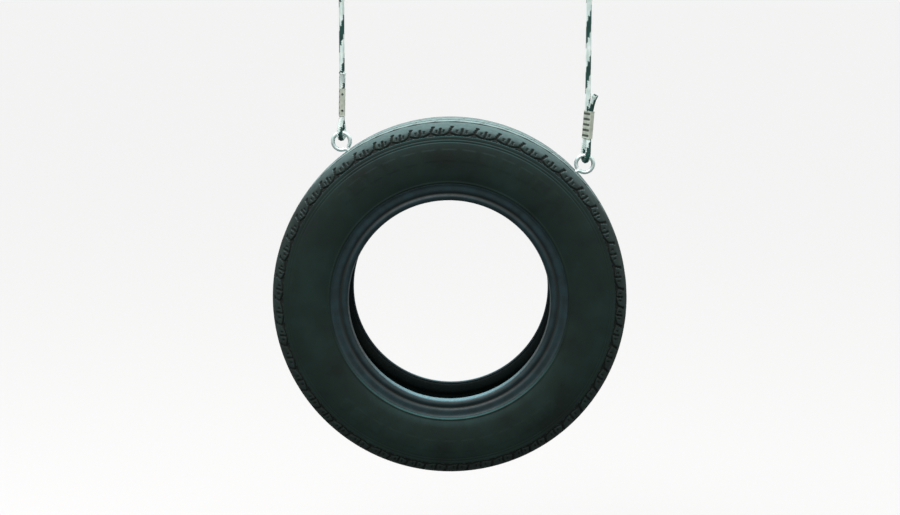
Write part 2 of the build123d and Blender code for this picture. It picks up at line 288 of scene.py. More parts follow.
def add(material, kind, sockets=None, **settings):
    """Adds one node. A socket's value is a number, a colour or another node's output."""
    node = material.node_tree.nodes.new(kind)
    for key, value in settings.items():
        setattr(node, key, value)
    for key, value in (sockets or {}).items():
        if isinstance(value, bpy.types.NodeSocket):
            material.node_tree.links.new(value, node.inputs[key])
        else:
            node.inputs[key].default_value = value
    return node


def blend_colours(material, amount, first, second):
    """One colour where the amount is 0 and another where it is 1."""
    mix = add(material, "ShaderNodeMix", {0: amount, 6: first, 7: second}, data_type="RGBA")
    return mix.outputs[2]


def shade(material, roughness, colour, bump=None, **values):
    """Sets the main shader: a colour, a roughness, a bump and plain numbers."""
    shader = material.node_tree.nodes["Principled BSDF"]
    for key, value in {"Roughness": roughness, "Base Color": colour, "Normal": bump}.items():
        if isinstance(value, bpy.types.NodeSocket):
            material.node_tree.links.new(value, shader.inputs[key])
        elif value is not None:
            shader.inputs[key].default_value = value
    for key, value in values.items():
        shader.inputs[key.replace("_", " ").title().replace("Ior", "IOR")].default_value = value


def new_material(name):
    """An empty node material, and its Object coordinates."""
    material = bpy.data.materials.new(name)
    material.use_nodes = True
    return material, add(material, "ShaderNodeTexCoord").outputs["Object"]


def scaled_noise(material, place, size, detail=4.0, low=0.0, high=1.0):
    """Noise with features of a size in millimetres, spread from low to high."""
    noise = add(material, "ShaderNodeTexNoise",
                {"Vector": place, "Scale": per_mm(size), "Detail": detail})
    return add(material, "ShaderNodeMapRange",
               {"Value": noise.outputs["Fac"], "From Min": 0.3, "From Max": 0.7,
                "To Min": low, "To Max": high}).outputs["Result"]


def bump_of(material, height, depth_mm):
    """A bump from a height that runs from 0 to 1."""
    return add(material, "ShaderNodeBump",
               {"Height": height, "Distance": depth_mm * MM, "Strength": 1.0}).outputs["Normal"]


# Braided polyester: white yarn gone a little grey outdoors, and a tracer of bottle green.
polyester, here = new_material("braided_polyester")
tracer_here = add(polyester, "ShaderNodeAttribute", attribute_name="tracer").outputs["Fac"]
soil = scaled_noise(polyester, here, 14, 5)
white_yarn = blend_colours(polyester, soil, linear("#f2f7f5"), linear("#cddbd7"))
green_yarn = blend_colours(polyester, soil, linear("#0c332e"), linear("#1c4f47"))
# The yarn's real filaments are too fine to see one by one, so these are about 0.4 mm apart.
filaments = scaled_noise(polyester, here, 0.4, 2)
shade(polyester, 0.72, blend_colours(polyester, tracer_here, white_yarn, green_yarn),
      bump_of(polyester, filaments, 0.15), specular_ior_level=0.35, sheen_weight=0.15,
      sheen_roughness=0.5)

for side_name, side in SIDES.items():
    centre, along = evenly(spline_line(route_points(side)), SAMPLE)
    pressed = np.zeros(len(centre))
    for end in ("lower", "upper"):
        to_clamp = np.array(side[f"{end}_clamp"].inverted())
        height = (np.c_[centre, np.ones(len(centre))] @ to_clamp.T)[:, 2]
        inside = np.minimum(height - CLAMP_SPAN[0], CLAMP_SPAN[1] - height)
        pressed = np.maximum(pressed, np.clip(1 + inside / PRESSED_EDGE, 0, 1))
    plane_normal = np.array(side["upper_clamp"].to_3x3() @ Vector((0, 1, 0)))
    radius = ROPE_R + (PRESSED_R - ROPE_R) * pressed
    rope = braid(f"{side_name}_braided_rope", centre, along, plane_normal, radius,
                 side["tracer_deg"])
    rope.data.materials.append(polyester)
    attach(rope, f"{side_name}_hanger")
    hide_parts(f"{side_name}_rope")

# ==== The rope clamps ==================================================================
# Each clamp is a strip of soft aluminium, 48 mm long, folded round both legs of a loop so
# that its edges meet at the back. The press left five grooves across its wide faces, dark
# with the tool's marks. Two steel pins go through a narrow face and both rope legs.
CLAMP_WALL = 0.8 * MM
CLAMP_HALF = (9.6 * MM, 5.0 * MM)
CLAMP_SEAM = 0.5 * MM
CLAMP_WAIST = 0.8 * MM
CLAMP_WAIST_REACH = 3 * MM
CLAMP_FLARE = 0.35 * MM
CLAMP_FLARE_LENGTH = 2 * MM
CRIMP_DEPTH = 0.35 * MM
CRIMP_HALF_WIDTH = 2.6 * MM
CRIMPS = 5
CLAMP_ROWS, CLAMP_COLUMNS = 150, 140


def clamp_section():
    """A rounded rectangle from seam to seam: points and outward directions.

    A superellipse of power six about the middle line gives the corners, with the seam's gap
    left open at the back of the sheet.
    """
    gap = CLAMP_SEAM / (2 * CLAMP_HALF[0])
    at = pi / 2 + np.linspace(gap, 2 * pi - gap, CLAMP_COLUMNS)
    reach = (np.abs(np.cos(at)) ** 6 + np.abs(np.sin(at)) ** 6) ** (-1 / 6)
    points = np.stack([CLAMP_HALF[0] * reach * np.cos(at), CLAMP_HALF[1] * reach * np.sin(at)], 1)
    step = np.gradient(points, axis=0)
    return points, unit(np.stack([step[:, 1], -step[:, 0]], 1))


def folded_clamp(name, place):
    """The sheet's middle surface, pressed in between the legs and at each crimp, then thickened."""
    section, outward = clamp_section()
    height = np.linspace(*CLAMP_SPAN, CLAMP_ROWS)
    length = CLAMP_SPAN[1] - CLAMP_SPAN[0]
    crimp_at = CLAMP_SPAN[0] + length * (np.arange(CRIMPS) + 0.5) / CRIMPS
    from_crimp = np.abs(height[:, None] - crimp_at).min(1) / CRIMP_HALF_WIDTH
    crimp = np.clip(1 - from_crimp ** 2, 0, 1)[:, None]
    wide = np.abs(outward[:, 1]) ** 4
    waist = CLAMP_WAIST * wide * np.exp(-(section[:, 0] / CLAMP_WAIST_REACH) ** 2)
    from_end = np.minimum(height - CLAMP_SPAN[0], CLAMP_SPAN[1] - height)
    flare = CLAMP_FLARE * np.clip(1 - from_end / CLAMP_FLARE_LENGTH, 0, 1)[:, None] ** 2
    proud = flare - waist[None] - CRIMP_DEPTH * crimp * wide[None]
    flat = section[None] + proud[..., None] * outward[None]
    points = np.concatenate([flat, np.broadcast_to(height[:, None, None], (*flat.shape[:2], 1))], 2)
    sheet = surface(name, points, wrap_columns=False)
    marks = sheet.data.attributes.new("crimp", "FLOAT", "POINT")
    marks.data.foreach_set("value", (crimp * wide[None]).ravel().astype(np.float32))
    sheet.data.transform(place)
    wall = sheet.modifiers.new("wall", "SOLIDIFY")
    wall.thickness = CLAMP_WALL
    wall.offset = 0
    return sheet


# Soft aluminium sheet: dull, mill rolled, with a warm grey film and tool marks in the crimps.
aluminium, here = new_material("rolled_aluminium")
pressed_here = add(aluminium, "ShaderNodeAttribute", attribute_name="crimp").outputs["Fac"]
film = scaled_noise(aluminium, here, 9, 6)
metal = blend_colours(aluminium, film, linear("#d3d4c8"), linear("#b4b5a9"))
dark_share = add(aluminium, "ShaderNodeMapRange",
                 {"Value": pressed_here, "From Min": 0.2, "From Max": 0.5,
                  "To Max": 0.9}).outputs["Result"]
shade(aluminium, scaled_noise(aluminium, here, 5, 5, 0.42, 0.62),
      blend_colours(aluminium, dark_share, metal, linear("#3d4039")),
      bump_of(aluminium, scaled_noise(aluminium, here, 1.2, 3), 0.03), metallic=0.55)

# Plain steel pins: wire with formed heads, dull with age.
pin_steel, here = new_material("formed_steel_pin")
shade(pin_steel, scaled_noise(pin_steel, here, 2, 3, 0.4, 0.6),
      blend_colours(pin_steel, scaled_noise(pin_steel, here, 3), linear("#6d6f6b"),
                    linear("#4a4c49")), metallic=1.0)


def finish_node(node, material):
    """Gives a piece that keeps its own shape its material."""
    for slot in frame["nodes"][node].material_slots:
        slot.material = material


for side_name, side in SIDES.items():
    for level in ("lower", "upper"):
        clamp = folded_clamp(f"{side_name}_{level}_folded_clamp", side[f"{level}_clamp"])
        clamp.data.materials.append(aluminium)
        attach(clamp, f"{side_name}_hanger")
        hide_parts(f"{side_name}_{level}_clamp")
    finish_node(f"{side_name}_clamp_pins", pin_steel)

# ==== The bent steel ===================================================================
# The eyebolts in the tyre are 7 mm wire bent into a ring, with an M8 thread rolled on the
# shank. The beam's eye screws are 10 mm wire with a coarse wood thread and a point. All of
# it is bright zinc plate, a little streaked.
CUT_END_DEG = 30
ROUNDED_END = 0.7 * MM
EYE = dict(wire_r=WIRE_R, ring_r=RING_R, bend_r=6 * MM, end_below=53 * MM, tip=0,
           thread=dict(stop=26 * MM, pitch=1.25 * MM, root_r=3.05 * MM))
BEAM_EYE = dict(wire_r=5 * MM, ring_r=20 * MM, bend_r=8 * MM, end_below=106 * MM, tip=9 * MM,
                thread=dict(stop=62 * MM, pitch=4.2 * MM, root_r=3.9 * MM))
STEPS_IN_PITCH = 8
SHANK_STEP = 0.9 * MM
BEND_STEPS = 24
RING_STEPS = 150
WIRE_COLUMNS = 32


def bent_eye_line(ring_r, bend_r, end_below, thread_stop, fine, coarse):
    """A straight shank, a small bend to the right and a ring that runs on round, in XZ.

    The ring's middle is the origin. The bend touches the shank and the ring, so its middle is
    at the root of ring_r squared plus twice ring_r times bend_r below the ring's.
    """
    drop = sqrt(ring_r ** 2 + 2 * ring_r * bend_r)
    ring_starts = atan2(-drop, bend_r)
    up_thread = np.arange(-end_below, -end_below + thread_stop, fine)
    up_shank = np.arange(-end_below + thread_stop, -drop, coarse)
    shank = np.r_[up_thread, up_shank]
    ring_ends = 2 * pi + ring_starts - radians(CUT_END_DEG)
    bend = np.linspace(pi, pi + ring_starts, BEND_STEPS)
    round_ring = np.linspace(ring_starts, ring_ends, RING_STEPS)[1:]
    x = np.r_[0 * shank, bend_r + bend_r * np.cos(bend), ring_r * np.cos(round_ring)]
    z = np.r_[shank, -drop + bend_r * np.sin(bend), ring_r * np.sin(round_ring)]
    return np.stack([x, 0 * x, z], 1)


def bent_eye(name, place, wire_r, ring_r, bend_r, end_below, tip, thread):
    """A tube along the eye's line.

    The thread is a ridge whose place along the shank moves by one pitch in each turn. The
    radius closes in a quarter round at the cut end.
    """
    line = bent_eye_line(ring_r, bend_r, end_below, thread["stop"],
                         thread["pitch"] / STEPS_IN_PITCH, SHANK_STEP)
    along = np.r_[0, np.cumsum(np.linalg.norm(np.diff(line, axis=0), axis=1))]
    around = np.linspace(0, 2 * pi, WIRE_COLUMNS, endpoint=False)
    turns = along[:, None] / thread["pitch"] - around[None] / (2 * pi)
    ridge = np.abs(2 * (turns % 1) - 1) ** 1.4
    threaded = np.clip((thread["stop"] - along) / thread["pitch"], 0, 1)[:, None]
    radius = wire_r - (wire_r - thread["root_r"]) * threaded * (1 - ridge)
    from_end = np.minimum(along + (ROUNDED_END if tip else 0), along[-1] - along)
    closing = ROUNDED_END - np.clip(from_end, 0, ROUNDED_END)
    radius = radius - (ROUNDED_END - np.sqrt(ROUNDED_END ** 2 - closing ** 2))[:, None]
    if tip:
        radius = radius * np.clip(0.06 + along / tip, 0, 1)[:, None]
    ahead = unit(np.gradient(line, axis=0))
    sideways = np.array([0.0, 1.0, 0.0])
    outward = np.cross(sideways, ahead)
    points = line[:, None] + radius[..., None] * (
        np.cos(around)[None, :, None] * outward[:, None] + np.sin(around)[None, :, None] * sideways)
    piece = surface(name, points, cap_rows=True)
    piece.data.transform(place)
    return piece


# Zinc plate: pale blue-white metal with soft streaks, a little duller in patches.
zinc, here = new_material("bright_zinc_plate")
patches = scaled_noise(zinc, here, 7, 5)
shade(zinc, scaled_noise(zinc, here, 4, 5, 0.28, 0.46),
      blend_colours(zinc, patches, linear("#f2f9f8"), linear("#cfdcda")),
      bump_of(zinc, scaled_noise(zinc, here, 2.5, 3), 0.02), metallic=0.8)

# Natural nylon: the lock nut's ring, milky and slightly waxy.
nylon, here = new_material("natural_nylon")
shade(nylon, 0.42, blend_colours(nylon, scaled_noise(nylon, here, 3), linear("#e4e6dc"),
                                 linear("#cfd2c6")), subsurface_weight=0.2,
      subsurface_scale=1 * MM)

for side_name, side in SIDES.items():
    in_tyre = (Matrix.Translation(side["eye_at"]) @ turn(side["eye_deg"], "Y")
               @ turn(side["hand_deg"], "Z"))
    beam_eye_at = joint_at[f"{side_name}_rope_swing"] + Vector((0, 0, BEAM_EYE["ring_r"]))
    in_beam = Matrix.Translation(beam_eye_at) @ turn(side["hand_deg"], "Z") @ turn(180, "Y")
    for node, place, sizes, body, slot in (
            (f"{side_name}_eyebolt", in_tyre, EYE, "tyre", "bolt_steel"),
            (f"{side_name}_beam_screw", in_beam, BEAM_EYE, "beam_fittings", "beam_steel")):
        eye = bent_eye(f"{node}_with_thread", place, **sizes)
        eye.data.materials.append(zinc)
        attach(eye, body)
        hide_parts(node)
for node in ("beam_washers", "bolt_washers", "bolt_spring_washers", "bolt_lock_nuts"):
    finish_node(node, zinc)
finish_node("lock_nut_rings", nylon)

# ==== The tread ========================================================================
# The tread of a part-worn 195/70 R14: three closed rings of rubber that meet in the floors of
# the two wavy outer grooves. Forty-nine pitches of three lengths run round it, so that it
# doesn't hum, and each shoulder pitch has a hook, a curve, a notch and small sipes cut in it.
CROWN = [(0, 311.0), (30, 310.6), (60, 309.3), (75.5, 304.0), (83.5, 297.8), (89, 288.0)]
CROWN_POINTS, CROWN_COLUMNS = 80, 22
SHOULDER_POINTS, SHOULDER_COLUMNS = 66, 26
REAR_SHIFT = 0.009
BELT_TOP_R = 301.0
BELT_END = [(68, 294.2), (68, 297.6), (57, BELT_TOP_R - 2)]
PITCHES = "LMLLMLMSMLMSSMLMLLMSSMLMMSSMLMSMLLMLMSMMSMSLMSSMS"
PITCH_SHARE = {"S": 0.84, "M": 1.0, "L": 1.14}
GROOVE_HALF_WIDTH = 4.8
GROOVE_DEPTH = 4.5
OUTER_GROOVE, OUTER_WAVE = 47.0, 1.5
INNER_GROOVE, INNER_WAVE = 16.0, 0.8
LIP_WEAR, LIP_REACH = 0.8, 3.5
HOOK_DEPTH, SMILE_DEPTH, SIPE_DEPTH, STEP_DEPTH = 3.2, 3.0, 2.2, 2.0
SMILE_LOW, SMILE_RISE = 1.4, 5.6
SLIT_DEPTH = 2.4
DIMPLE_DEPTH, DIMPLE_REACH = 1.6, 6
CUT_EDGE = 0.9
# Painted shade in recesses: pressed-in rubber is darkened towards this black, more the deeper it
# lies.
RECESS_SHADE_COLOUR = "#0d1412"
RECESS_SHADE_FROM_MM, RECESS_SHADE_BY_MM, RECESS_SHADE_SHARE = 0.15, 1.0, 0.92


def through(points, step=0.1):
    """A smooth line through points, by Catmull-Rom pieces, resampled at small equal steps."""
    p = np.array(points, float)
    p = np.vstack([2 * p[0] - p[1], p, 2 * p[-1] - p[-2]])
    t = np.linspace(0, 1, 60, endpoint=False)[:, None]
    pieces = [b + ((c - a) * t + (2 * a - 5 * b + 4 * c - d) * t ** 2
                   + (3 * b - a - 3 * c + d) * t ** 3) / 2
              for a, b, c, d in zip(p, p[1:], p[2:], p[3:])]
    return evenly(np.vstack([*pieces, p[-2]]), step)[0]


def mirrored(half):
    """A half section from the middle outwards, with its mirror image before it."""
    return [*[(-w, r) for w, r in half[:0:-1]], *half]


def part_of(line, low, high, count):
    """A count of points of a line, evenly spaced between two distances from the middle."""
    kept = line[(line[:, 0] >= low) & (line[:, 0] <= high)]
    return kept[np.linspace(0, len(kept) - 1, count).round().astype(int)]


def tyre_ring(name, sections, angles, hand, depth):
    """A ring about the axle from one section for each angle, in millimetres.

    A section point is (distance from the middle, radius). It stands at the radius times the
    sine and cosine of the angle in x and z, and at the distance times the hand in y. The hand
    is -1 on the front half and 1 on the rear half. Each outer point keeps how deep it was
    pressed in, and the points that close the section keep nought. Every point keeps how far
    it faces up.
    """
    across, radius = sections[..., 0] * MM, sections[..., 1] * MM
    x = tyre_middle.x + radius * np.sin(angles)[:, None]
    z = tyre_middle.z + radius * np.cos(angles)[:, None]
    piece = surface(name, np.stack([x, hand * across, z], -1), wrap_rows=True)
    kept = np.zeros(across.shape, np.float32)
    kept[:, :depth.shape[1]] = depth
    normals = np.empty(3 * len(piece.data.vertices), np.float32)
    piece.data.vertices.foreach_get("normal", normals)
    for kept_name, values in (("pressed_mm", kept.ravel()), ("facing_up", normals[2::3])):
        attribute = piece.data.attributes.new(kept_name, "FLOAT", "POINT")
        attribute.data.foreach_set("value", np.ascontiguousarray(values))
    return piece


def pressed_in(section, depth):
    """A section's points moved inwards, square to the section, by a depth for each angle."""
    step = np.gradient(section, axis=0)
    outward = unit(np.stack([-step[:, 1], step[:, 0]], 1))
    return section[None] - depth[..., None] * outward[None]


def closed_by(outer, inner):
    """Sections closed by inner points that are the same at every angle."""
    inner = np.broadcast_to(np.array(inner, float), (len(outer), len(inner), 2))
    return np.concatenate([outer, inner], 1)


def pitched(columns, shift=0.0):
    """Angles round the tyre, and at each its phase within its pitch and that pitch's length."""
    share = np.array([PITCH_SHARE[letter] for letter in PITCHES])
    ends = np.r_[0, np.cumsum(share / share.sum())]
    count = np.arange(len(PITCHES) * columns) / columns
    angles = 2 * pi * (np.interp(count, np.arange(len(ends)), ends) + shift)
    length = np.repeat(np.diff(ends) * 2 * pi * CROWN[-1][1], columns)
    return angles, (count % 1)[:, None], length[:, None]


def cut(distance, half_width, edge=CUT_EDGE):
    """One inside a cut and nought outside it, with a smooth step across the edge."""
    t = np.clip((half_width - distance) / edge + 0.5, 0, 1)
    return t * t * (3 - 2 * t)


def from_phase(phase, length, at):
    """The distance round the tyre from a place in each pitch."""
    return ((phase - at + 0.5) % 1 - 0.5) * length


def from_segment(x, y, start, end):
    """The distance of each point of a grid from a straight segment."""
    run = np.subtract(end, start)
    t = np.clip(((x - start[0]) * run[0] + (y - start[1]) * run[1]) / (run @ run), 0, 1)
    return np.hypot(x - start[0] - t * run[0], y - start[1] - t * run[1])


def wavy_groove(across, phase, at, wave):
    """The depth of a groove that runs round the tyre with its middle on a sine of the phase."""
    middle = at + wave * np.sin(2 * pi * phase)
    return GROOVE_DEPTH * cut(np.abs(across - middle), GROOVE_HALF_WIDTH)


def shoulder_depth(across, above_edge, phase, length):
    """The depth of what is cut into a shoulder, the deepest at each point of all its cuts.

    The smile is a parabola in the phase, and its distance is divided by the root of one plus
    its slope squared. The lip beside the outer groove is worn down in a soft bell.
    """
    here = [from_phase(phase, length, at) for at in (0.0, 0.5, 0.31, 0.69)]
    hook = from_segment(here[0], above_edge, (0, 7), (4.7, 21))
    hook_head = np.hypot(here[0] - 4.7, above_edge - 20.5)
    smile_at = SMILE_LOW + SMILE_RISE * (2 * phase - 1) ** 2
    smile_slope = 4 * SMILE_RISE * (2 * phase - 1) / length
    smile = np.abs(above_edge - smile_at) / np.sqrt(1 + smile_slope ** 2)
    notch = from_segment(here[1], above_edge, (-0.6, 3), (1.4, 16))
    sipes = [from_segment(x, above_edge, (-0.2, 7.5), (0.7, 12)) for x in here[2:]]
    from_lip = across - OUTER_GROOVE - OUTER_WAVE * np.sin(2 * pi * phase) - GROOVE_HALF_WIDTH
    under_hook = np.maximum(np.abs(here[0]) - 0.8 * (6.4 - above_edge), 1.2 - above_edge)
    return np.maximum.reduce([
        HOOK_DEPTH * cut(hook, 1.5),
        HOOK_DEPTH * cut(hook_head, 2.6),
        SMILE_DEPTH * cut(smile, 1.5),
        SMILE_DEPTH * cut(notch, 1.3),
        *[SIPE_DEPTH * cut(sipe, 0.9) for sipe in sipes],
        STEP_DEPTH * cut(under_hook, 0.4),
        wavy_groove(across, phase, OUTER_GROOVE, OUTER_WAVE),
        LIP_WEAR * np.exp(-(from_lip / LIP_REACH) ** 2)])


def shoulder_ring(name, hand, shift):
    """One shoulder, from the floor of its outer groove down to the top of the sidewall."""
    angles, phase, length = pitched(SHOULDER_COLUMNS, shift)
    section = part_of(through(CROWN), OUTER_GROOVE, CROWN[-1][0], SHOULDER_POINTS)
    above_edge = np.linalg.norm(np.diff(section, axis=0), axis=1)[::-1].cumsum()[::-1]
    above_edge = np.r_[above_edge, 0]
    depth = shoulder_depth(section[:, 0], above_edge, phase, length) * np.clip(above_edge, 0, 1)
    inner = [*BELT_END, (OUTER_GROOVE, BELT_TOP_R)]
    return tyre_ring(name, closed_by(pressed_in(section, depth), inner), angles, hand, depth)


def crown_ring(name):
    """The three middle ribs, with slanting slits, and a dimple where each eyebolt goes in."""
    angles, phase, length = pitched(CROWN_COLUMNS)
    middle = through(mirrored(CROWN[:3]))
    section = part_of(middle, -OUTER_GROOVE, OUTER_GROOVE, CROWN_POINTS)
    across = section[:, 0]
    slits = []
    for low, high, at in ((21, 40, 0.1), (-40, -21, 0.3), (-11, -2, 0.0), (2, 11, 0.5)):
        x = from_phase(phase, length, at)
        slits.append(from_segment(x, across, (-3, low), (3, high)))
    eyes = []
    for side in SIDES.values():
        turned = (angles[:, None] - radians(side["eye_deg"]) + pi) % (2 * pi) - pi
        eyes.append(np.hypot(turned * CROWN[0][1], across))
    depth = np.maximum.reduce([
        *[wavy_groove(across, phase, at, OUTER_WAVE) for at in (-OUTER_GROOVE, OUTER_GROOVE)],
        *[wavy_groove(across, phase, at, INNER_WAVE) for at in (-INNER_GROOVE, INNER_GROOVE)],
        *[SLIT_DEPTH * cut(slit, 0.6) for slit in slits],
        *[DIMPLE_DEPTH * np.exp(-(eye / DIMPLE_REACH) ** 2) for eye in eyes]])
    inner = [(w, BELT_TOP_R + 2 - (w / 24) ** 2 / 4)
             for w in np.linspace(OUTER_GROOVE, -OUTER_GROOVE, 6)]
    return tyre_ring(name, closed_by(pressed_in(section, depth), inner), angles, 1, depth)


def rubber(name, deep, worn, pale_dust_and_light, pale_from, patch, roughness, gloss=0.3):
    """Carbon black rubber: dull, nearly black, worn grey in patches, with a moulded grain.

    A pale colour, part dust and part painted light, lies where the surface faces up, from a
    given height of its normal. What is pressed in is darkened towards the black of new rubber,
    as painted shade in the recesses.
    """
    material, here = new_material(name)
    upwards = add(material, "ShaderNodeAttribute", attribute_name="facing_up").outputs["Fac"]
    # Paler where the surface faces up: partly dust, partly painted light.
    dust_and_painted_light = add(material, "ShaderNodeMapRange",
                  {"Value": upwards, "From Min": pale_from, "From Max": 1.0},
                  interpolation_type="SMOOTHSTEP").outputs["Result"]
    broken = scaled_noise(material, here, patch / 4, 6, 0.75, 1.0)
    dust_and_painted_light = add(material, "ShaderNodeMath", {0: dust_and_painted_light, 1: broken}, operation="MULTIPLY")
    pressed = add(material, "ShaderNodeAttribute", attribute_name="pressed_mm").outputs["Fac"]
    # Painted shade: the deeper a point is pressed in, the nearer its colour comes to new black
    # rubber.
    recess_shade = add(material, "ShaderNodeMapRange", {"Value": pressed, "From Min": RECESS_SHADE_FROM_MM,
                                                 "From Max": RECESS_SHADE_BY_MM, "To Max": RECESS_SHADE_SHARE})
    rubbed = blend_colours(material, scaled_noise(material, here, patch, 6), linear(deep),
                           linear(worn))
    dusty_and_lit = blend_colours(material, dust_and_painted_light.outputs[0], rubbed, linear(pale_dust_and_light))
    shade(material, scaled_noise(material, here, patch / 3, 4, roughness - 0.06, roughness + 0.08),
          blend_colours(material, recess_shade.outputs["Result"], dusty_and_lit, linear(RECESS_SHADE_COLOUR)),
          bump_of(material, scaled_noise(material, here, 1.2, 3), 0.06), specular_ior_level=gloss)
    return material


# Tread rubber: scuffed dull by the road and grey with dried dust and a painted sheen, most of all
# on the ribs, whose paler copy of the rubber carries the painted sheen.
rib_rubber_painted_sheen = rubber("worn_rib_rubber_painted_sheen", "#14201e", "#26342f", "#8ea1a2", 0.1, 28, 0.7)
shoulder_rubber = rubber("worn_shoulder_rubber", "#0f1a18", "#1e2d2a", "#5c7072", 0.4, 28, 0.74)
tread_rings = [crown_ring("tread_crown"), shoulder_ring("tread_front_shoulder", -1, 0.0),
               shoulder_ring("tread_rear_shoulder", 1, REAR_SHIFT)]
for piece, look in zip(tread_rings, (rib_rubber_painted_sheen, shoulder_rubber, shoulder_rubber)):
    piece.data.materials.append(look)
    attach(piece, "tyre")
    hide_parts("tread")

# ==== The sidewalls ====================================================================
# Smooth moulded rubber, with two fine rings under the shoulder and a raised rib above the rim
# strip. Two arcs of plain low blocks stand where a maker would mould lettering.
SIDE_OUTER = [(89, 288.0), (93.8, 266.0), (95, 246.0), (93, 224.0), (88, 206.0)]
SIDE_INNER = [(81.5, 205.0), (89.5, 227.0), (91.5, 249.0), (84.5, 274.0), (68, 294.2)]
RING_LINES_R = (283.0, 278.5)
RING_LINE_DEPTH, RING_LINE_REACH = 0.45, 0.7
RIM_RIB_R = 209.0
RIM_RIB_HEIGHT, RIM_RIB_REACH = 0.9, 1.3
BLOCK_R = (246, 266)
BLOCK_ARC_DEG = 46
BLOCK_STEP_DEG = 7.6
BLOCK_HALF_DEG = 2.7
BLOCK_HEIGHT = 0.3
BLOCK_SLOPE, BLOCK_SLOPE_DEG = 3.5, 0.5
SIDE_ROWS, SIDE_POINTS = 720, 96


def sidewall_ring(name, hand):
    """A sidewall whose height above a smooth curve is a sum of rings and plain blocks."""
    angles = np.linspace(0, 2 * pi, SIDE_ROWS, endpoint=False)
    line = through(SIDE_OUTER)
    section = line[np.linspace(0, len(line) - 1, SIDE_POINTS).round().astype(int)]
    radius = section[:, 1]
    lines = sum(RING_LINE_DEPTH * np.exp(-((radius - at) / RING_LINE_REACH) ** 2)
                for at in RING_LINES_R)
    rib = RIM_RIB_HEIGHT * np.exp(-((radius - RIM_RIB_R) / RIM_RIB_REACH) ** 2)
    from_arc = np.degrees(np.abs((angles[:, None] + pi / 2) % pi - pi / 2))
    from_block = np.abs((from_arc + BLOCK_STEP_DEG / 2) % BLOCK_STEP_DEG - BLOCK_STEP_DEG / 2)
    in_row = cut(np.abs(radius - np.mean(BLOCK_R)), np.ptp(BLOCK_R) / 2, BLOCK_SLOPE)
    in_arc = cut(from_arc, BLOCK_ARC_DEG, BLOCK_SLOPE_DEG)
    block = cut(from_block, BLOCK_HALF_DEG, BLOCK_SLOPE_DEG) * in_arc * in_row
    depth = (lines - rib)[None] - BLOCK_HEIGHT * block
    depth[:, [0, -1]] = 0
    inner = through(SIDE_INNER, 6)
    return tyre_ring(name, closed_by(pressed_in(section, depth), inner), angles, hand, depth)


# Sidewall rubber: smoother and blacker than the tread, and paler where it faces up, with dust and
# painted light.
side_rubber = rubber("moulded_sidewall_rubber", "#081411", "#132622", "#4b7b7c", 0.12, 60, 0.6,
                     gloss=0.25)
for side_name, hand in (("front", -1), ("rear", 1)):
    piece = sidewall_ring(f"{side_name}_moulded_sidewall", hand)
    piece.data.materials.append(side_rubber)
    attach(piece, "tyre")
    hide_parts(f"{side_name}_sidewall")

# ==== The rim strips and bead wires ====================================================
# The hard rubber strips that sat against the rim, each with a groove that the rim's flange
# pressed. A pale painted highlight lies on the toe at the bottom of the hole, where it faces up.
# The bead wires are inside.
STRIP_OUTER = [(88, 206.0), (85.8, 202.0), (85.2, 194.0), (82.6, 189.0), (84.6, 183.0),
               (82, 177.6), (76, 175.9), (70, 175.2)]
STRIP_ROWS = 480
FLANGE_R = 189.0
FLANGE_GROOVE, FLANGE_REACH = 1.4, 2.5
STRIP_INNER = [(67.7, 179.0), (71.2, 179.2), (71.2, 191.0), (75, 197.0), (81.5, 205.0)]


def strip_ring(name, hand):
    """A rim strip from a smooth section that is the same at every angle.

    The groove is in the section already, and its depth is kept only for the painted shade in the
    rubber's colour.
    """
    angles = np.linspace(0, 2 * pi, STRIP_ROWS, endpoint=False)
    outer = through(STRIP_OUTER, 0.8)
    groove = FLANGE_GROOVE * np.exp(-((outer[:, 1] - FLANGE_R) / FLANGE_REACH) ** 2)
    depth = np.broadcast_to(groove, (len(angles), len(outer)))
    section = np.vstack([outer, STRIP_INNER])
    sections = np.broadcast_to(section, (len(angles), *section.shape))
    return tyre_ring(name, sections, angles, hand, depth)


# Rim strip rubber: harder and a little polished by the rim, with a pale painted highlight where it
# faces up.
strip_rubber = rubber("rim_strip_rubber", "#0a1a1e", "#162c33", "#719aa6", 0.5, 22, 0.42, gloss=0.4)
# Bead wire: drawn high-carbon steel with a bronze wash that helps the rubber grip it.
bead_wire, here = new_material("bronzed_bead_wire")
shade(bead_wire, 0.35, blend_colours(bead_wire, scaled_noise(bead_wire, here, 4),
                                     linear("#b08a55"), linear("#8c6b40")), metallic=1.0)
for side_name, hand in (("front", -1), ("rear", 1)):
    piece = strip_ring(f"{side_name}_hard_rim_strip", hand)
    piece.data.materials.append(strip_rubber)
    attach(piece, "tyre")
    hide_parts(f"{side_name}_rim_strip")
    finish_node(f"{side_name}_bead_wire", bead_wire)

# ==== The body ply and belts ===========================================================
# The airtight lining inside the tyre, printed with the slanting vent lines of the bladder that
# pressed it in the mould. Its cords and the steel belts are under the rubber.
LINER = [(0, 297.0), (50, 295.6), (71, 287.0), (82.5, 271.0), (88.3, 249.0), (86.3, 227.0),
         (77.5, 204.0), (69.6, 194.0), (67.6, 187.0), (67.5, 179.3)]
PLY = [(71.2, 179.3), (71.2, 191.0), (81.5, 205.0), (89.5, 227.0), (91.5, 249.0), (84.5, 274.0),
       (68, 294.2), (40, 298.1), (0, 299.5)]
LINING_ROWS = 576
VENT_STEP_DEG = 2.5
VENT_SLANT_DEG_PER_MM = 0.05
VENT_HEIGHT = 0.5


